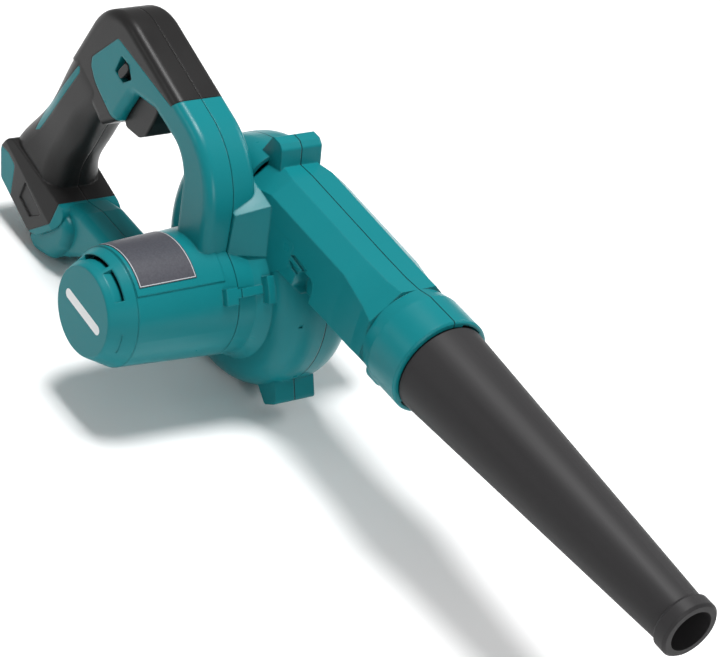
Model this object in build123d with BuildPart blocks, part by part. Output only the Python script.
from build123d import *
import os
from math import atan2, cos, hypot, radians, sin

# Cordless leaf blower: a centrifugal fan in a two-part scroll case, with its motor barrel, D-shaped
# handle and battery foot in two shells that meet at the handle's centre plane.
# +X is the blowing direction, +Z is up, +Y is the fan axis, pointing out of the air inlet.
# The origin is the centre of the inlet's mouth, on the fan axis.

# ---------------------------------------------------------------- driving dimensions, millimetres

# Planes across the machine
case_parting_y = -51.0          # scroll, duct and nozzle are split or centred on this plane
handle_y = -89.5                # centre plane of the handle and of the two handle shells
seam_gap = 0.1                  # between two shells that close on each other
wall = 2.2                      # moulded wall of every shell
skin = 1.6                      # soft overmould on the handle and foot

# Scroll case
scroll_start_angle = 45.0       # where the outline starts, inside the mouth of the duct
scroll_arcs = [(52.5, 75.0), (57.1, 80.0), (66.1, 80.0), (58.9, 80.0)]     # radius, turn
scroll_half_width = 22.0
scroll_edge_radius = 16.0
hub_fill_radius = 32.0
shaft_hole_radius = 7.0

# Duct, collar and nozzle on the outlet axis
outlet_z = 44.1
duct_end_x = 104.0
collar_back_x = 112.0
collar_front_x = 132.6
collar_bore_radius = 23.0
collar_wall = 3.3
collar_radius = collar_bore_radius + collar_wall
collar_bore_depth = 25.0
nozzle_tip_x = 320.7
nozzle_base_radius = collar_bore_radius + 0.7
nozzle_waist_radius = 13.5
nozzle_rim_radius = 14.9
nozzle_rim_length = 7.0
nozzle_outlet_radius = 10.75
nozzle_outlet_length = 12.0
nozzle_wall = 1.8
nozzle_spigot_length = 20.0
nozzle_clearance = 0.3
bayonet_lug_height = 1.3
bayonet_lug_length = 5.0
bayonet_lug_angle = 30.0
bayonet_turn = 40.0
lug_rest_angle = -175.0         # start of the lug at the front, counted from +Y towards +Z
lug_boss_angle = -131.0         # bulge of the collar over the bayonet's entry
lug_boss_radius = 6.5
boss_offset = 20.6

# Air inlet
inlet_bore_radius = 23.0
inlet_radius = inlet_bore_radius + collar_wall
guard_radius = 21.0
guard_spokes = 8
guard_depth = 3.0
guard_rib = 1.8

# Motor barrel
barrel_end_y = -145.0
cap_length = 13.0
end_cap_y = barrel_end_y - cap_length   # flat end of the motor cap
barrel_end_radius = 29.3
barrel_root_radius = 33.0
barrel_flare_radius = 37.0
barrel_flare_length = 7.0
cap_face_radius = 22.8
pad_height = 0.5
label_thickness = 0.35

# Handle
handle_half_width = 14.5
handle_edge_radius = 5.0
grip_lean = 21.0                # the grip leans forward by this many degrees
foot_tilt = 18.0                # the battery slides along a line tilted by this many degrees
foot_half_width = 20.5
foot_shoulder_half_width = 16.5 # flat top of the foot, between its two sloping shoulders
foot_shoulder_v = -2.0           # where the shoulders meet the foot's sides
foot_top_v = 11.0
foot_crease_radius = 1.5
belly_half_width = 18.0
link_half_width = 13.5

# Battery slot
slot_half_width = 15.5
slot_lip_half_width = 12.5
slot_top_v = -13.0
slot_lip_top_v = -19.5
slot_stop_u = 19.0
terminal_back_u = 3.0
terminal_front_u = 17.0
terminal_half_width = 11.0

# Motor, fan and shaft
shaft_radius = 2.5
running_clearance = 0.04
motor_radius = 18.5
motor_length = 60.0
motor_can_wall = 1.3
rotor_radius = 13.0
bearing_radius = 6.5
bearing_width = 5.0
impeller_radius = 43.5
impeller_plate = 2.0
blade_count = 9
blade_height = 27.0
blade_thickness = 1.8
blade_inner_radius = 24.0
fan_gap = 2.0                   # free air between the fan and the case walls

# Controls
trigger_half_width = 8.0
trigger_travel = 6.0
trigger_clearance = 0.6
selector_x, selector_z = -82.0, 77.0

# Fasteners
screw_radius = 1.5
screw_head_radius = 2.9
screw_head_height = 2.2
screw_length = 16.0
screw_clearance = 0.25
boss_radius = 3.8

os.makedirs("parts", exist_ok=True)


def save(part, name):
    """Label a finished piece with its node name and write it."""
    part.label = name
    export_step(part, f"parts/{name}.step")


def side_plane(y):
    """Plane across the machine at this y: local x is +X, local y is +Z, extrusion goes to -Y."""
    return Plane.XZ.offset(-y)


def cross_plane(x):
    """Plane across the outlet at this x: local x is +Y, local y is +Z."""
    return Plane.YZ.offset(x)


def plate(corners, y_from, y_to, inset=0.0):
    """Extrude an X-Z outline, given as (x, z, corner radius), between two y planes."""
    with BuildPart() as body:
        with BuildSketch(side_plane(y_to)):
            with BuildLine():
                FilletPolyline([c[:2] for c in corners], radius=[c[2] for c in corners], close=True)
            make_face()
            if inset:
                offset(amount=-inset, kind=Kind.INTERSECTION)
        extrude(amount=y_to - y_from)
    return body.part


def turned(profile, axis_plane=Plane.XY, axis=Axis.Y):
    """Revolve a closed profile; on the fan axis its points are (radius, y)."""
    with BuildPart() as body:
        with BuildSketch(axis_plane):
            with BuildLine():
                Polyline(profile, close=True)
            make_face()
        revolve(axis=axis)
    return body.part


outlet_plane = Plane(origin=(0, case_parting_y, outlet_z), x_dir=(1, 0, 0), z_dir=(0, -1, 0))
outlet_axis = Axis((0, case_parting_y, outlet_z), (1, 0, 0))


def turned_on_outlet(profile):
    """Revolve a profile of (x, radius) points about the nozzle's axis."""
    return turned(profile, outlet_plane, outlet_axis)


def rod(x, z, radius, y_from, y_to):
    """Round bar or hole along Y."""
    with BuildPart() as body:
        with BuildSketch(side_plane(y_to)):
            with Locations((x, z)):
                Circle(radius)
        extrude(amount=y_to - y_from)
    return body.part


# ---------------------------------------------------------------- handle and foot envelopes

grip_u = Vector(cos(radians(grip_lean)), 0, -sin(radians(grip_lean)))
grip_up = Vector(sin(radians(grip_lean)), 0, cos(radians(grip_lean)))
grip_middle = Vector(-119.7, handle_y, 32.2)
foot_u = Vector(cos(radians(foot_tilt)), 0, -sin(radians(foot_tilt)))
foot_middle = Vector(-130.0, handle_y, -20.0)

# Bar, front leg and the body round the switch, clockwise from the leg's root in the barrel
bow_outline = [
    (14.0, 5.0, 0), (3.8, 76.8, 45), (-108.5, 107.0, 28), (-128.5, 55.0, 0),
    (-92.0, 38.0, 0), (-79.0, 49.0, 0), (-77.0, 56.0, 4), (-71.5, 69.5, 5),
    (-53.0, 72.5, 6), (-22.3, 65.4, 20), (-10.0, 5.0, 0),
]
# Grip stations: distance up the grip, back and front of the section, half width, corner radius
grip_stations = [
    (26.0, -18.5, 17.0, 14.4, 9.0),
    (8.0, -18.0, 17.0, 14.8, 11.0),
    (-10.0, -17.0, 17.0, 14.8, 12.0),
    (-28.0, -18.0, 17.0, 14.8, 12.0),
    (-38.0, -19.5, 19.0, 15.6, 12.0),
    (-47.0, -20.5, 24.0, 17.0, 12.0),
    (-58.0, -20.5, 24.0, 16.5, 10.0),
]
# Foot in its own tilted directions: u forward along the battery's slide, v up
foot_outline = [
    (-27.0, 2.0, 4), (-29.0, -8.0, 5), (-18.5, -21.0, 3),
    (17.0, -21.5, 4), (24.0, -16.0, 4), (32.0, 0.0, 6), (33.0, 10.5, 6),
]
belly_outline = [
    (12.0, -18.0, 0), (13.5, -28.5, 5), (23.0, -30.5, 8), (37.0, -21.0, 10),
    (42.0, -6.0, 8), (40.0, 7.0, 8), (26.0, 8.0, 0),
]
# Link from the belly to the barrel, in x and z
link_outline = [
    (-108.0, -20.0, 0), (-112.0, -52.0, 6), (-96.0, -47.0, 12), (-80.0, -35.0, 10),
    (-50.0, -28.0, 0), (-22.0, -22.0, 0), (-22.0, -12.0, 0), (-60.0, -15.5, 0), (-90.0, -15.5, 0),
]


def foot_point(u, v):
    """Turn the foot's own (u, v) into (x, z)."""
    x = foot_middle.X + u * cos(radians(foot_tilt)) + v * sin(radians(foot_tilt))
    z = foot_middle.Z - u * sin(radians(foot_tilt)) + v * cos(radians(foot_tilt))
    return x, z


def tilted(corners):
    """A foot outline in x and z, with its corner radii kept."""
    return [(*foot_point(u, v), r) for u, v, r in corners]


def soft_plate(corners, half_width, inset, edge_radius):
    """Plate centred on the handle plane with both side edges rounded."""
    half = half_width - inset
    body = plate(corners, handle_y - half, handle_y + half, inset)
    edges = body.faces().filter_by(Axis.Y).edges()
    return body.fillet(max(edge_radius - inset, 0.8), edges)


def foot_solid(inset):
    """Foot: its side outline, with a sloping shoulder along each side of the top."""
    half = foot_half_width - inset
    top_half = foot_shoulder_half_width - inset
    reach = 2 * foot_half_width
    side = plate(tilted(foot_outline), handle_y - half, handle_y + half, inset)
    foot_section = Plane(origin=foot_middle, x_dir=(0, 1, 0), z_dir=foot_u)
    with BuildPart() as body:
        with BuildSketch(foot_section):
            with BuildLine():
                Polyline(
                    (-half, -reach), (half, -reach), (half, foot_shoulder_v - inset / 2),
                    (top_half, foot_top_v), (top_half, reach), (-top_half, reach),
                    (-top_half, foot_top_v), (-half, foot_shoulder_v - inset / 2), close=True,
                )
            make_face()
        extrude(amount=reach, both=True)
        fillet(body.edges().filter_by(Axis(foot_middle, foot_u)), foot_crease_radius)
        add(side, mode=Mode.INTERSECT)
    return body.part


def grip_solid(inset):
    """The hand grip, lofted through rounded sections across the grip's lean."""
    with BuildPart() as body:
        for up, back, front, half, corner in grip_stations:
            middle = grip_middle + grip_up * up + grip_u * ((back + front) / 2)
            with BuildSketch(Plane(origin=middle, x_dir=grip_u, z_dir=grip_up)):
                RectangleRounded(front - back - 2 * inset, 2 * (half - inset), corner - inset)
        loft()
    return body.part


def barrel_solid(inset, y_from, y_to):
    """Motor barrel, widening to its flare on the scroll's wall."""
    return turned([
        (0, y_from), (barrel_end_radius - inset, y_from),
        (barrel_root_radius - inset, y_to - barrel_flare_length),
        (barrel_flare_radius - inset, y_to), (0, y_to),
    ])


def envelope(inset):
    """Bar, leg, grip, foot, belly, link and barrel as one solid, drawn in by an inset."""
    with BuildPart() as body:
        add(soft_plate(bow_outline, handle_half_width, inset, handle_edge_radius))
        add(grip_solid(inset))
        add(foot_solid(inset))
        add(soft_plate(tilted(belly_outline), belly_half_width, inset, handle_edge_radius))
        add(soft_plate(link_outline, link_half_width, inset, handle_edge_radius - 1.0))
        add(barrel_solid(min(inset, wall), barrel_end_y, case_parting_y - scroll_half_width))
    return body.part



def sector(radius_in, radius_out, angle_from, angle_to, y_from, y_to):
    """Piece of a ring about the fan axis, between two angles counted from +X towards +Z."""
    with BuildPart() as body:
        with BuildSketch(side_plane(y_to)):
            with BuildLine():
                outer = CenterArc((0, 0), radius_out, angle_from, angle_to - angle_from)
                inner = CenterArc((0, 0), radius_in, angle_from, angle_to - angle_from)
                Line(outer @ 0, inner @ 0)
                Line(outer @ 1, inner @ 1)
            make_face()
        extrude(amount=y_to - y_from)
    return body.part


def foot_box(u_from, u_to, v_from, v_to, y_from, y_to):
    """Block in the foot's tilted directions."""
    corners = [(u_from, v_from, 0), (u_to, v_from, 0), (u_to, v_to, 0), (u_from, v_to, 0)]
    return plate(tilted(corners), y_from, y_to)


def keep_right(part, y):
    """The part of a solid on the -Y side of a plane."""
    with BuildPart() as body:
        add(part)
        split(bisect_by=side_plane(y), keep=Keep.TOP)
    return body.part


def keep_left(part, y):
    """The part of a solid on the +Y side of a plane."""
    with BuildPart() as body:
        add(part)
        split(bisect_by=side_plane(y), keep=Keep.BOTTOM)
    return body.part


# ---------------------------------------------------------------- scroll case, duct and collar

case_face_y = case_parting_y - scroll_half_width       # motor side of the case
cover_face_y = case_parting_y + scroll_half_width      # inlet side of the case


def scroll_solid(inset):
    """The scroll's chamber: pies of growing radius with rounded rims, turned about their own centres."""
    heading = scroll_start_angle - 90.0
    point = Vector(scroll_arcs[0][0], 0).rotate(Axis.Z, scroll_start_angle)
    mouth_x = point.X
    half = scroll_half_width - inset
    with BuildPart() as body:
        for radius, turn in scroll_arcs:
            inward = Vector(1, 0).rotate(Axis.Z, heading - 90.0)
            centre = point + inward * radius
            origin = Vector(centre.X, case_parting_y, centre.Y)
            outward = Vector(-inward.X, 0, -inward.Y)
            side = outward.cross(Vector(0, 1, 0))
            with BuildSketch(Plane(origin=origin, x_dir=outward, z_dir=side)) as pie:
                with Locations(((radius - inset) / 2, 0)):
                    Rectangle(radius - inset, 2 * half)
                fillet(pie.vertices().group_by(Axis.X)[-1], scroll_edge_radius - inset)
            revolve(axis=Axis(origin, (0, 1, 0)), revolution_arc=turn)
            heading -= turn
            point = centre - Vector(1, 0).rotate(Axis.Z, heading - 90.0) * radius
        with BuildSketch(side_plane(case_parting_y + half)):
            Circle(hub_fill_radius)
            with BuildLine():
                Polyline((0, 0), (mouth_x, mouth_x), (mouth_x, 50), (0, 50), close=True)
            make_face()
        extrude(amount=2 * half)
    return body.part


# Duct stations: x, half width of the flat top, half width, top, foot of the bevel, then the mirrored
# lower bevel, bottom and half width of the bottom
duct_stations = [
    (-16.0, 6.0, scroll_half_width, 69.0, 53.5, 31.0, 26.5, 17.0),
    (12.0, 12.0, scroll_half_width, 70.1, 62.0, 31.0, 26.5, 17.0),
    (76.0, 11.5, scroll_half_width - 0.3, 68.0, 60.3, 31.0, 26.0, 16.0),
    (94.0, 11.0, scroll_half_width + 0.4, 67.8, 56.0, 31.5, 25.0, 14.0),
    (duct_end_x, 10.2, 24.4, outlet_z + 24.4, outlet_z + 10.2, outlet_z - 10.2, outlet_z - 24.4, 10.2),
]


def duct_solid(inset):
    """Duct from the scroll to the collar: eight flat sides that close in to nearly round."""
    start_x = duct_stations[0][0]
    with BuildPart() as body:
        for x, flat, half, top, bevel, low_bevel, bottom, low_flat in duct_stations:
            with BuildSketch(cross_plane(x + inset if x == start_x else x)):
                with BuildLine():
                    Polyline(
                        (case_parting_y - flat, top), (case_parting_y + flat, top),
                        (case_parting_y + half, bevel), (case_parting_y + half, low_bevel),
                        (case_parting_y + low_flat, bottom), (case_parting_y - low_flat, bottom),
                        (case_parting_y - half, low_bevel), (case_parting_y - half, bevel), close=True,
                    )
                make_face()
                if inset:
                    offset(amount=-inset, kind=Kind.INTERSECTION)
        loft(ruled=True)
    return body.part


def bayonet_sector(radius_in, radius_out, x_from, x_to, angle, spread):
    """Piece of a ring about the outlet axis; the angle is counted from +Y towards +Z."""
    with BuildPart() as body:
        with BuildSketch(cross_plane(x_from)):
            with BuildLine():
                centre = (case_parting_y, outlet_z)
                outer = CenterArc(centre, radius_out, angle, spread)
                inner = CenterArc(centre, radius_in, angle, spread)
                Line(outer @ 0, inner @ 0)
                Line(outer @ 1, inner @ 1)
            make_face()
        extrude(amount=x_to - x_from)
    return body.part


collar_seat_x = collar_front_x - collar_bore_depth
lug_x = collar_front_x - 16.0
spigot_outer = collar_bore_radius - nozzle_clearance
lug_radius = spigot_outer + bayonet_lug_height
groove_radius = lug_radius + nozzle_clearance
lug_angles = (lug_rest_angle, lug_rest_angle + 180.0)

collar_outside = turned_on_outlet([
    (duct_end_x - 1.0, 0), (duct_end_x - 1.0, 24.2), (collar_back_x, collar_radius),
    (collar_front_x - 1.0, collar_radius), (collar_front_x, collar_radius - 1.0), (collar_front_x, 0),
])
collar_inside = turned_on_outlet([
    (duct_end_x - 1.5, 0), (duct_end_x - 1.5, 21.5), (collar_seat_x, 21.5),
    (collar_seat_x, collar_bore_radius), (collar_front_x + 1.0, collar_bore_radius),
    (collar_front_x + 1.0, 0),
])
with BuildPart() as collar_boss:
    with BuildSketch(cross_plane(duct_end_x + 1.0)):
        with Locations((case_parting_y + boss_offset * cos(radians(lug_boss_angle)),
                        outlet_z + boss_offset * sin(radians(lug_boss_angle)))):
            Circle(lug_boss_radius)
    extrude(amount=11.0)
    fillet(collar_boss.edges().filter_by(GeomType.CIRCLE), 2.5)

# Screw lugs on the rim of the case, as (x, z, corner radius)
top_lug = [
    (-19.0, 60.0, 0), (-9.4, 80.3, 1), (-3.6, 80.3, 2), (-0.6, 78.0, 2), (2.8, 66.0, 0), (2.0, 60.0, 0),
]
low_lug = [
    (26.0, -38.0, 0), (29.5, -42.1, 0), (38.4, -48.2, 2), (46.2, -42.6, 2), (41.0, -33.0, 0),
    (36.0, -28.0, 0),
]
lug_half_width = 12.0
case_screw_places = [(-6.0, 73.5), (38.2, -40.8), (-50.5, -43.0)]


def turned_corners(corners, angle, outwards):
    """Corners of an outline turned about the fan axis and moved outwards."""
    turned_list = []
    for x, z, r in corners:
        radius = hypot(x, z) + outwards
        bearing = atan2(z, x) + radians(angle)
        turned_list.append((radius * cos(bearing), radius * sin(bearing), r))
    return turned_list


rear_lug = turned_corners(low_lug, -93.0, 9.0)

# Pocket outside the tongue, between the scroll's rim and the lower edge of the duct
tongue_pocket = [
    (49.0, 8.0, 0), (50.6, 16.0, 0), (43.0, 31.0, 4), (45.0, 43.0, 6), (57.5, 43.0, 4),
    (58.5, 14.0, 0),
]
pocket_depth = 9.0

with BuildPart() as case_outside:
    add(scroll_solid(0))
    add(duct_solid(0))
    add(collar_outside)
    add(collar_boss.part)
    for lug in (top_lug, low_lug, rear_lug):
        add(plate(lug, case_parting_y - lug_half_width, case_parting_y + lug_half_width))
with BuildPart() as case_inside:
    add(scroll_solid(wall))
    add(duct_solid(wall))
    add(collar_inside)
    add(plate(tongue_pocket, case_face_y, case_face_y + pocket_depth + wall, -wall), mode=Mode.SUBTRACT)
with BuildPart() as case_shell:
    add(case_outside.part)
    add(case_inside.part, mode=Mode.SUBTRACT)
    add(plate(tongue_pocket, case_face_y - 1.0, case_face_y + pocket_depth), mode=Mode.SUBTRACT)
    for x, z in case_screw_places:
        add(rod(x, z, screw_radius + screw_clearance, case_parting_y, case_parting_y + 20.0),
            mode=Mode.SUBTRACT)
        add(rod(x, z, screw_head_radius + screw_clearance, case_parting_y + lug_half_width - 3.5,
                case_parting_y + 20.0), mode=Mode.SUBTRACT)
        add(rod(x, z, screw_radius, case_parting_y - 10.0, case_parting_y), mode=Mode.SUBTRACT)
    for angle in lug_angles:
        add(bayonet_sector(collar_bore_radius - 1.0, groove_radius, lug_x - nozzle_clearance,
                           lug_x + bayonet_lug_length + nozzle_clearance, angle - 2.0,
                           bayonet_lug_angle + bayonet_turn + 4.0), mode=Mode.SUBTRACT)
        add(bayonet_sector(collar_bore_radius - 1.0, groove_radius, lug_x,
                           collar_front_x + 1.0, angle + bayonet_turn - 2.0,
                           bayonet_lug_angle + 4.0), mode=Mode.SUBTRACT)
case_half = keep_right(case_shell.part, case_parting_y - seam_gap / 2)
cover_half = keep_left(case_shell.part, case_parting_y + seam_gap / 2)

# Inlet side of the case, with the inlet's collar and its fixed guard
inlet_outside = turned([
    (0, cover_face_y - wall), (inlet_radius + 3.0, cover_face_y - wall), (inlet_radius + 3.0, cover_face_y),
    (inlet_radius, cover_face_y + 3.0), (inlet_radius, -1.0), (inlet_radius - 1.0, 0), (0, 0),
])
inlet_inside = turned([
    (0, cover_face_y - wall - 1.0), (guard_radius, cover_face_y - wall - 1.0), (guard_radius, cover_face_y),
    (inlet_bore_radius, cover_face_y), (inlet_bore_radius, 1.0), (0, 1.0),
])
guard_y = cover_face_y - guard_depth
with BuildPart() as fan_cover:
    add(cover_half)
    add(inlet_outside)
    add(inlet_inside, mode=Mode.SUBTRACT)
    for radius in (7.0, 14.0):
        add(turned([(radius - guard_rib / 2, guard_y), (radius + guard_rib / 2, guard_y),
                    (radius + guard_rib / 2, guard_y + guard_depth),
                    (radius - guard_rib / 2, guard_y + guard_depth)]))
    with BuildSketch(side_plane(guard_y + guard_depth)):
        with PolarLocations((7.0 + guard_radius) / 2, guard_spokes):
            Rectangle(guard_radius - 7.0 + 0.6, guard_rib)
    extrude(amount=guard_depth)
save(fan_cover.part, "fan_cover")

# ---------------------------------------------------------------- housing shells and overmould

# Shallow arrow-shaped recess on both sides of the foot
recess = tilted([(-1.5, -3.2, 1), (0.0, -14.3, 1), (12.9, -14.5, 1), (19.4, -4.7, 1)])
recess_depth = 0.8
with BuildPart() as whole:
    add(envelope(0))
    for side in (-1, 1):
        face_y = handle_y + side * foot_half_width
        add(plate(recess, face_y - recess_depth, face_y + recess_depth), mode=Mode.SUBTRACT)
outer = whole.part
under_skin = envelope(skin)
hollow = envelope(skin + wall)

# Battery slot under the foot: a channel with two lips that the battery's rails slide over
slot_low_v = -40.0
with BuildPart() as battery_slot:
    add(foot_box(-60.0, slot_stop_u, slot_lip_top_v, slot_top_v,
                 handle_y - slot_half_width, handle_y + slot_half_width))
    add(foot_box(-60.0, slot_stop_u, slot_low_v, slot_lip_top_v,
                 handle_y - slot_lip_half_width, handle_y + slot_lip_half_width))
slot_roof = foot_box(-60.0, slot_stop_u + wall, slot_low_v, slot_top_v + wall,
                     handle_y - foot_half_width, handle_y + foot_half_width)

# Side outline of the soft overmould: over the bar, round the apex, down the grip and over the foot
bar_joint_x = -37.0
skin_outline = [
    (bar_joint_x, 130.0, 0), (bar_joint_x, 88.0, 0), (-40.3, 83.2, 1), (-92.5, 89.2, 3),
    (-109.7, 67.6, 3), (-108.6, 63.0, 4), (-102.7, 57.2, 20), (-85.4, 49.8, 0), (-60.0, 40.0, 0),
    (*foot_point(34.0, 24.0), 0), (*foot_point(22.5, 11.5), 1), (*foot_point(27.5, -1.4), 2),
    (*foot_point(17.5, -20.0), 2), (*foot_point(18.0, -30.0), 0), (*foot_point(-6.0, -30.0), 0),
    (*foot_point(-6.5, -20.0), 3), (*foot_point(-13.5, -5.0), 3), (*foot_point(-21.5, -4.5), 4),
    (*foot_point(-28.0, -7.0), 0), (*foot_point(-60.0, -7.0), 0),
    (-190.0, 130.0, 0),
]
# Slot in the overmould on the back of the grip, where a strip of the housing shows
strip_outline = [
    (-117.5, 58.5, 1), (-134.8, 25.0, 0), (-140.5, 22.0, 0), (-141.5, 3.0, 0), (-138.0, 5.5, 0),
    (-131.8, 19.5, 1), (-116.2, 54.0, 1),
]
skin_zone = plate(skin_outline, handle_y - 40.0, handle_y + 40.0)
strip_zone = plate(strip_outline, handle_y - 40.0, handle_y + 40.0)
# Trigger, cut from one side outline; its slot in the handle follows its travel
pull = grip_u * -1
trigger_outline = [
    (-56.8, 68.0, 1), (-58.6, 60.0, 12), (-61.5, 50.5, 3), (-67.0, 46.3, 4), (-78.5, 45.0, 3),
    (-83.0, 50.0, 2), (-84.0, 66.0, 2), (-76.0, 74.0, 2), (-60.0, 73.5, 2),
]
trigger_slot = []
for share in (0.0, 0.25, 0.5, 0.75, 1.0):
    shift = pull * (trigger_travel * share)
    moved = [(x + shift.X, z + shift.Z, 0) for x, z, r in trigger_outline]
    trigger_slot.append(plate(moved, handle_y - trigger_half_width - trigger_clearance,
                              handle_y + trigger_half_width + trigger_clearance, -trigger_clearance))

# Screws that close the handle: their bosses run between the shells, their heads are on the left
housing_screw_places = [
    (-30.0, 78.2), (-58.0, 84.0), (-103.0, 91.0), (-134.0, 18.6),
    foot_point(-18.0, -3.5), foot_point(29.0, -15.0),
]
head_depth = 9.0

with BuildPart() as overmould:
    add(outer)
    add(under_skin, mode=Mode.SUBTRACT)
    add(skin_zone, mode=Mode.INTERSECT)
    add(strip_zone, mode=Mode.SUBTRACT)
    add(battery_slot.part, mode=Mode.SUBTRACT)
    for slot in trigger_slot:
        add(slot, mode=Mode.SUBTRACT)
    for x, z in housing_screw_places:
        add(rod(x, z, screw_head_radius + screw_clearance, handle_y + head_depth, handle_y + 30.0),
            mode=Mode.SUBTRACT)

selector_window = [(-86.8, 82.8, 1), (-79.6, 82.0, 1), (-74.6, 76.4, 1), (-80.6, 70.9, 1), (-89.2, 72.4, 1)]
hidden_half = foot_half_width + 2.0

with BuildPart() as bosses:
    for x, z in housing_screw_places:
        add(rod(x, z, boss_radius, handle_y - hidden_half, handle_y + hidden_half))
    add(hollow, mode=Mode.INTERSECT)

with BuildPart() as housing_shell:
    add(outer)
    add(overmould.part, mode=Mode.SUBTRACT)
    add(hollow, mode=Mode.SUBTRACT)
    add(bosses.part)

# The cavity stays above the slot's roof, and the slot is cut below it
with BuildPart() as slot_roof_solid:
    add(slot_roof)
    add(outer, mode=Mode.INTERSECT)
    add(overmould.part, mode=Mode.SUBTRACT)
lead_passage = [(-38.0, -21.5, 0), (-38.0, -17.0, 0), (-25.0, -12.8, 0), (-20.0, -8.0, 0), (-20.0, -15.5, 0)]
with BuildPart() as housing:
    add(housing_shell.part)
    add(slot_roof_solid.part)
    add(battery_slot.part, mode=Mode.SUBTRACT)
    add(foot_box(terminal_back_u - 0.3, terminal_front_u + 0.3, slot_top_v - 1.0, slot_top_v + wall + 1.0,
                 handle_y - terminal_half_width - 0.3, handle_y + terminal_half_width + 0.3),
        mode=Mode.SUBTRACT)
    for slot in trigger_slot:
        add(slot, mode=Mode.SUBTRACT)
    add(plate(lead_passage, handle_y - 6.0, handle_y + 5.0), mode=Mode.SUBTRACT)
    for x, z in housing_screw_places:
        add(rod(x, z, screw_radius, handle_y - 11.0, handle_y), mode=Mode.SUBTRACT)
        add(rod(x, z, screw_radius + screw_clearance, handle_y, handle_y + hidden_half),
            mode=Mode.SUBTRACT)
        add(rod(x, z, screw_head_radius + screw_clearance, handle_y + head_depth, handle_y + hidden_half),
            mode=Mode.SUBTRACT)

# Snap rib beside the barrel that bridges the two shells
rib_low, rib_high = 29.5, 37.0
label_low, label_high = 53.0, 131.0
pad_low, pad_high = 45.5, 150.0
with BuildPart() as label_pad:
    add(barrel_solid(-pad_height, barrel_end_y, case_face_y))
    add(sector(10.0, 60.0, pad_low, pad_high, barrel_end_y + 0.5, -96.0), mode=Mode.INTERSECT)
    add(barrel_solid(wall / 2, barrel_end_y, case_face_y), mode=Mode.SUBTRACT)
with BuildPart() as housing_right:
    add(keep_right(housing.part, handle_y - seam_gap / 2))
    add(label_pad.part)
    add(sector(31.0, 35.3, rib_low - 5.0, rib_high + 1.5, -98.5, -91.5))
    add(sector(31.0, 35.3, rib_low, rib_high, -91.6, handle_y - seam_gap))
    add(plate(selector_window, handle_y - 16.0, handle_y - 8.0), mode=Mode.SUBTRACT)
save(housing_right.part, "housing_right")

# The left shell carries the motor side of the fan case and half of the duct and collar
with BuildPart() as duct_block:
    with BuildSketch(side_plane(case_face_y)):
        with BuildLine():
            Polyline((-25, 61), (-4, 61), (14.3, 57.3), (20.5, 31.5), (-25, 31.5), close=True)
        make_face()
    with BuildSketch(side_plane(handle_y + seam_gap / 2)):
        with BuildLine():
            Polyline((-25, 56), (-4, 56), (9.5, 50.7), (11.5, 29), (-25, 29), close=True)
        make_face()
    loft(ruled=True)
with BuildPart() as barrel_hollow:
    add(barrel_solid(wall, barrel_end_y - 1.0, case_face_y))
motor_screw_places = [(8.0, 0.0), (-8.0, 0.0)]
slot_outlines = [
    [(37.0, 44.2, 0), (39.6, 46.2, 0), (50.8, 45.1, 0), (48.8, 42.4, 0)],
    [(36.4, 41.7, 0), (39.5, 38.8, 0), (45.0, 38.0, 0), (47.1, 40.6, 0)],
]
with BuildPart() as housing_left:
    add(keep_left(housing.part, handle_y + seam_gap / 2))
    add(duct_block.part)
    add(barrel_hollow.part, mode=Mode.SUBTRACT)
    add(case_half)
    add(sector(33.0, 35.3, rib_low, rib_high, handle_y + seam_gap, case_face_y))
    add(sector(33.0, 39.5, 22.5, 43.0, case_face_y - 4.0, case_face_y + 0.5))
    add(rod(0, 0, shaft_hole_radius, case_face_y - 1.0, case_face_y + wall + 1.0), mode=Mode.SUBTRACT)
    for x, z in motor_screw_places:
        add(rod(x * 1.5, z, screw_radius + screw_clearance, case_face_y - 1.0, case_face_y + wall + 1.0),
            mode=Mode.SUBTRACT)
    for outline in slot_outlines:
        add(plate(outline, case_face_y - 1.0, case_face_y + 1.3), mode=Mode.SUBTRACT)
save(housing_left.part, "housing_left")

save(keep_right(overmould.part, handle_y - seam_gap / 2), "grip_skin_right")
save(keep_left(overmould.part, handle_y + seam_gap / 2), "grip_skin_left")

# Printed metal plate stuck on the barrel's pad
with BuildPart() as rating_plate:
    add(barrel_solid(-pad_height - label_thickness, barrel_end_y, case_face_y))
    add(sector(10.0, 60.0, label_low, label_high, -142.5, -111.0), mode=Mode.INTERSECT)
    add(barrel_solid(-pad_height, barrel_end_y, case_face_y), mode=Mode.SUBTRACT)
save(rating_plate.part, "rating_plate")

# Cap that closes the barrel, with its cooling slots and the pocket of its snap
cap_fit = 0.15
spigot_radius = barrel_end_radius - wall - cap_fit
with BuildPart() as motor_end_cap:
    add(turned([
        (0, end_cap_y), (cap_face_radius - 0.6, end_cap_y), (cap_face_radius, end_cap_y + 0.6),
        (barrel_end_radius, barrel_end_y - seam_gap), (spigot_radius, barrel_end_y - seam_gap),
        (spigot_radius, barrel_end_y + 4.0), (spigot_radius - 1.8, barrel_end_y + 4.0),
        (spigot_radius - 1.8, barrel_end_y - 1.5), (cap_face_radius - 1.0, end_cap_y + wall),
        (0, end_cap_y + wall),
    ]))
    for angle_from, angle_to in ((45.0, 82.0), (87.0, 134.0), (139.0, 176.0)):
        add(sector(24.3, 26.5, angle_from, angle_to, end_cap_y - 1.0, barrel_end_y + 1.0),
            mode=Mode.SUBTRACT)
    add(sector(25.4, 29.0, -17.0, 8.0, end_cap_y - 1.0, end_cap_y + 6.5), mode=Mode.SUBTRACT)
save(motor_end_cap.part, "motor_end_cap")

# ---------------------------------------------------------------- nozzle

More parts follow.
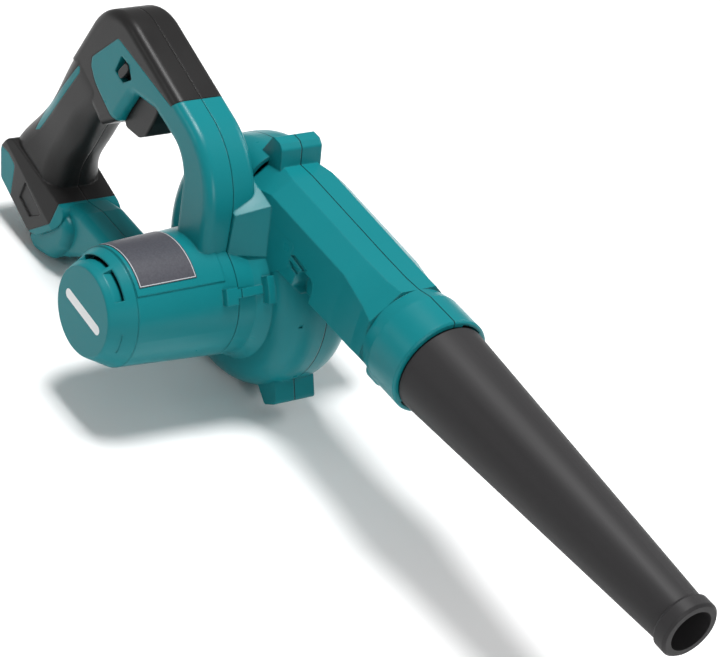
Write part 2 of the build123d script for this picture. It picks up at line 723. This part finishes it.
spigot_back_x = collar_front_x - nozzle_spigot_length
rim_x = nozzle_tip_x - nozzle_rim_length
with BuildPart() as nozzle:
    add(turned_on_outlet([
        (spigot_back_x, spigot_outer - nozzle_wall), (spigot_back_x, spigot_outer),
        (collar_front_x + 0.3, spigot_outer), (collar_front_x + 1.2, nozzle_base_radius),
        (rim_x - 1.5, nozzle_waist_radius), (rim_x, nozzle_rim_radius),
        (nozzle_tip_x - 1.2, nozzle_rim_radius), (nozzle_tip_x, nozzle_rim_radius - 1.2),
        (nozzle_tip_x, nozzle_outlet_radius), (nozzle_tip_x - nozzle_outlet_length, nozzle_outlet_radius),
        (collar_front_x, nozzle_base_radius - nozzle_wall - 0.4),
    ]))
    for angle in lug_angles:
        add(bayonet_sector(spigot_outer - 0.5, lug_radius, lug_x, lug_x + bayonet_lug_length,
                           angle, bayonet_lug_angle))
save(nozzle.part, "nozzle")

# ---------------------------------------------------------------- motor

motor_front_y = case_face_y - 0.2
motor_back_y = motor_front_y - motor_length
plate_thickness = 2.0
bell_length = 12.0
front_bearing_y = motor_front_y - plate_thickness - bearing_width
rear_bearing_y = motor_back_y - bell_length + 3.0
can_inner = motor_radius - motor_can_wall
with BuildPart() as motor_can:
    add(turned([
        (4.5, motor_front_y), (motor_radius, motor_front_y), (motor_radius, motor_back_y),
        (can_inner, motor_back_y), (can_inner, motor_front_y - plate_thickness),
        (bearing_radius + 2.0, motor_front_y - plate_thickness), (bearing_radius + 2.0, front_bearing_y),
        (bearing_radius, front_bearing_y), (bearing_radius, motor_front_y - plate_thickness),
        (4.5, motor_front_y - plate_thickness),
    ]))
    for x, z in motor_screw_places:
        add(rod(x * 1.5, z, screw_radius, motor_front_y - 5.0, motor_front_y + 1.0), mode=Mode.SUBTRACT)
save(motor_can.part, "motor_can")

save(turned([
    (bearing_radius, motor_back_y - bell_length + 3.0), (bearing_radius, rear_bearing_y + bearing_width),
    (bearing_radius + 2.5, rear_bearing_y + bearing_width), (bearing_radius + 2.5, rear_bearing_y + 1.0),
    (can_inner - 1.5, rear_bearing_y + 1.0), (can_inner - 1.5, motor_back_y + 2.0),
    (can_inner - 0.05, motor_back_y + 2.0), (can_inner - 0.05, motor_back_y - 0.05),
    (motor_radius, motor_back_y - 0.05), (motor_radius, motor_back_y - bell_length),
    (0, motor_back_y - bell_length), (0, motor_back_y - bell_length + 2.0),
    (bearing_radius, motor_back_y - bell_length + 2.0),
]), "motor_end_bell")

for name, y in (("front_bearing", front_bearing_y), ("rear_bearing", rear_bearing_y)):
    save(turned([
        (shaft_radius + running_clearance, y), (bearing_radius, y),
        (bearing_radius, y + bearing_width), (shaft_radius + running_clearance, y + bearing_width),
    ]), name)

magnet_inner = rotor_radius + 0.6
with BuildPart() as magnets:
    for start in (-62.0, 118.0):
        add(sector(magnet_inner, can_inner, start, start + 124.0, motor_back_y + 12.0, motor_front_y - 12.0))
save(magnets.part, "magnets")

rotor_from, rotor_to = motor_back_y + 14.0, motor_front_y - 14.0
winding_overhang = 4.0
slot_count = 5
with BuildPart() as rotor_core:
    add(turned([(shaft_radius, rotor_from), (rotor_radius, rotor_from),
                (rotor_radius, rotor_to), (shaft_radius, rotor_to)]))
    with BuildSketch(side_plane(rotor_to)):
        with PolarLocations(8.4, slot_count):
            Circle(3.0)
        with PolarLocations(rotor_radius, slot_count):
            Rectangle(6.0, 1.6)
    extrude(amount=rotor_to - rotor_from, mode=Mode.SUBTRACT)
save(rotor_core.part, "rotor_core")

with BuildPart() as rotor_windings:
    with BuildSketch(side_plane(rotor_to + winding_overhang)):
        with PolarLocations(8.4, slot_count):
            Circle(2.8)
    extrude(amount=rotor_to - rotor_from + 2 * winding_overhang)
    for y in (rotor_from - winding_overhang, rotor_to + 0.1):
        top = y + winding_overhang - 0.1
        add(turned([(5.0, y), (11.0, y), (11.0, top), (5.0, top)]))
save(rotor_windings.part, "rotor_windings")

commutator_from, commutator_to = rear_bearing_y + bearing_width + 2.0, rotor_from - winding_overhang - 1.0
commutator_radius = 5.0
with BuildPart() as commutator:
    add(turned([(shaft_radius, commutator_from), (commutator_radius, commutator_from),
                (commutator_radius, commutator_to), (shaft_radius, commutator_to)]))
    with BuildSketch(side_plane(commutator_to)):
        with PolarLocations(commutator_radius, slot_count):
            Rectangle(1.2, 0.5)
    extrude(amount=commutator_to - commutator_from, mode=Mode.SUBTRACT)
save(commutator.part, "commutator")

with BuildPart() as brushes:
    for x in (-1, 1):
        with BuildSketch(side_plane(commutator_to - 1.0)):
            with Locations((x * (commutator_radius + 0.3 + 3.0), 0)):
                Rectangle(6.0, 4.0)
        extrude(amount=6.0)
save(brushes.part, "brushes")

shaft_tip_y = guard_y - 3.0
save(turned([(0, rear_bearing_y + 0.5), (shaft_radius, rear_bearing_y + 0.5),
             (shaft_radius, shaft_tip_y), (0, shaft_tip_y)]), "motor_shaft")

with BuildPart() as motor_screws:
    for x, z in motor_screw_places:
        add(rod(x * 1.5, z, screw_radius - 0.05, motor_front_y - 4.0, case_face_y + wall))
        add(rod(x * 1.5, z, screw_head_radius, case_face_y + wall, case_face_y + wall + 1.8))
save(motor_screws.part, "motor_screws")

# Rubber ring that centres the motor's back end in the barrel and lets the cooling air past
ring_y = motor_back_y + 3.0
barrel_slope = (barrel_root_radius - barrel_end_radius) / (case_face_y - barrel_flare_length - barrel_end_y)
ring_outer = barrel_end_radius + barrel_slope * (ring_y - barrel_end_y) - wall - 0.1
with BuildPart() as motor_seat_ring:
    add(turned([(motor_radius, ring_y), (ring_outer, ring_y), (ring_outer, ring_y + 6.0),
                (motor_radius, ring_y + 6.0)]))
    with BuildSketch(side_plane(ring_y + 7.0)):
        with PolarLocations(ring_outer, 6, start_angle=24.0):
            Rectangle(13.0, 9.0)
    extrude(amount=8.0, mode=Mode.SUBTRACT)
save(motor_seat_ring.part, "motor_seat_ring")

# ---------------------------------------------------------------- fan

plate_y = case_face_y + wall + 1.8 + fan_gap
hub_radius = 8.0
nut_length = 4.0
with BuildPart() as impeller:
    add(turned([
        (shaft_radius, plate_y), (impeller_radius, plate_y), (impeller_radius, plate_y + impeller_plate),
        (hub_radius + 6.0, plate_y + impeller_plate), (hub_radius, plate_y + 9.0),
        (hub_radius - 1.0, shaft_tip_y - nut_length - 2.0), (shaft_radius, shaft_tip_y - nut_length - 2.0),
    ]))
    with BuildSketch(side_plane(plate_y + impeller_plate)):
        with PolarLocations(0, blade_count):
            with BuildLine(mode=Mode.PRIVATE) as blade_line:
                ThreePointArc((blade_inner_radius, 0), (33.5, 5.5), (40.2, 13.5))
            trace(blade_line.line, line_width=blade_thickness)
    extrude(amount=-blade_height)
save(impeller.part, "impeller")

with BuildPart() as impeller_nut:
    with BuildSketch(side_plane(shaft_tip_y)):
        RegularPolygon(5.0, 6)
        Circle(shaft_radius, mode=Mode.SUBTRACT)
    extrude(amount=nut_length)
    chamfer(impeller_nut.edges().filter_by(GeomType.LINE).filter_by(Axis.Y), 0.4)
save(impeller_nut.part, "impeller_nut")
save(turned([(shaft_radius, shaft_tip_y - nut_length - 2.0), (6.5, shaft_tip_y - nut_length - 2.0),
             (6.5, shaft_tip_y - nut_length - 0.5), (shaft_radius, shaft_tip_y - nut_length - 0.5)]),
     "impeller_washer")

# ---------------------------------------------------------------- controls and wiring

plunger_start = Vector(-82.0, handle_y, 65.0)
plunger_radius = 2.0
with BuildPart() as trigger:
    add(plate(trigger_outline, handle_y - trigger_half_width, handle_y + trigger_half_width))
    fillet(trigger.faces().filter_by(Axis.Y).edges(), 1.2)
    with BuildSketch(Plane(origin=plunger_start, z_dir=pull)):
        Circle(plunger_radius)
    extrude(amount=8.0, mode=Mode.SUBTRACT)
save(trigger.part, "trigger")

with BuildPart() as switch_plunger:
    with BuildSketch(Plane(origin=plunger_start, z_dir=pull)):
        Circle(plunger_radius)
    extrude(amount=12.5)
save(switch_plunger.part, "switch_plunger")

switch_outline = [
    (-91.5, 56.0, 1), (-91.5, 84.0, 1), (-110.0, 84.0, 2), (-113.5, 70.0, 2), (-104.0, 56.0, 1),
]
with BuildPart() as switch_body:
    add(plate(switch_outline, handle_y - 8.0, handle_y + 8.0))
    with BuildSketch(Plane(origin=plunger_start, z_dir=pull)):
        Circle(plunger_radius + 0.3)
    extrude(amount=20.5, mode=Mode.SUBTRACT)
save(switch_body.part, "switch_body")

selector_disc_y = handle_y - 10.5
with BuildPart() as speed_selector:
    add(rod(selector_x, selector_z, 8.4, selector_disc_y, selector_disc_y + 1.4))
    with BuildSketch(side_plane(selector_disc_y)):
        with Locations((selector_x, selector_z)):
            SlotOverall(10.0, 4.4, rotation=62.0)
    extrude(amount=handle_half_width - 10.5 + 0.6)
save(speed_selector.part, "speed_selector")

board_v = slot_top_v + wall + 5.0
blade_back_u = terminal_back_u + 1.0
blade_front_u = terminal_front_u - 2.0
with BuildPart() as terminal_block:
    add(foot_box(terminal_back_u, terminal_front_u, slot_top_v - 0.6, slot_top_v + wall + 2.5,
                 handle_y - terminal_half_width, handle_y + terminal_half_width))
    for y in (-8.0, 0.0, 8.0):
        add(foot_box(blade_back_u, blade_front_u, slot_top_v - 1.6, slot_top_v + wall + 1.0,
                     handle_y + y - 0.4, handle_y + y + 0.4), mode=Mode.SUBTRACT)
save(terminal_block.part, "terminal_block")
with BuildPart() as terminal_blades:
    for y in (-8.0, 0.0, 8.0):
        add(foot_box(blade_back_u, blade_front_u, slot_top_v - 5.0, slot_top_v + wall + 1.0,
                     handle_y + y - 0.4, handle_y + y + 0.4))
save(terminal_blades.part, "terminal_blades")
with BuildPart() as control_board:
    add(foot_box(-12.5, 18.0, board_v, board_v + 1.6, handle_y - 14.0, handle_y + 14.0))
    add(foot_box(-11.0, -3.0, board_v + 1.6, board_v + 4.0, handle_y - 11.0, handle_y - 4.0))
    add(foot_box(0.0, 7.0, board_v + 1.6, board_v + 3.4, handle_y + 4.0, handle_y + 11.0))
save(control_board.part, "control_board")


def wires(name, routes, radius=0.9):
    """Insulated leads along straight runs joined by arcs."""
    with BuildPart() as leads:
        for points, bends in routes:
            with BuildLine(mode=Mode.PRIVATE) as route:
                FilletPolyline(*points, radius=bends)
            path = route.line
            with BuildSketch(Plane(origin=path @ 0, z_dir=path % 0)):
                Circle(radius)
            sweep(path=path)
    save(leads.part, name)


lead_offset = 2.2
supply_routes = []
motor_routes = []
for side in (-1, 1):
    y = handle_y + side * lead_offset
    board_x, board_z = foot_point(-2.0, board_v + 1.7)
    supply_routes.append(([
        (board_x, y, board_z), (-124.0, y, 12.0), (-113.0, y, 40.0), (-107.5, y, 55.8),
    ], (12.0, 20.0)))
    front_x, front_z = foot_point(18.2, board_v + 0.8)
    in_barrel = (-25.0, y, -14.5) if side < 0 else (-23.5, y, -12.3)
    motor_routes.append(([
        (front_x, y, front_z), (-100.0, y, -27.5), (-60.0, y, -22.0), (-34.0, y, -18.8), in_barrel,
        (-22.3, motor_back_y - 6.0, -10.5 + side * 2.0),
        (-16.85 - side * 0.95, motor_back_y - 6.0, -8.0 + side * 2.0),
    ], (8.0, 20.0, 20.0, 5.0, 3.0)))
wires("supply_leads", supply_routes)
wires("motor_leads", motor_routes)

# ---------------------------------------------------------------- screws

with BuildPart() as housing_screws:
    for x, z in housing_screw_places:
        add(rod(x, z, screw_radius - 0.05, handle_y + head_depth - screw_length, handle_y + head_depth))
        add(rod(x, z, screw_head_radius, handle_y + head_depth, handle_y + head_depth + screw_head_height))
        add(rod(x, z, 1.0, handle_y + head_depth + 1.0, handle_y + head_depth + screw_head_height),
            mode=Mode.SUBTRACT)
save(housing_screws.part, "housing_screws")

case_head_y = case_parting_y + lug_half_width - 3.5
with BuildPart() as case_screws:
    for x, z in case_screw_places:
        add(rod(x, z, screw_radius - 0.05, case_head_y - screw_length, case_head_y))
        add(rod(x, z, screw_head_radius, case_head_y, case_head_y + screw_head_height))
        add(rod(x, z, 1.0, case_head_y + 1.0, case_head_y + screw_head_height), mode=Mode.SUBTRACT)
save(case_screws.part, "case_screws")
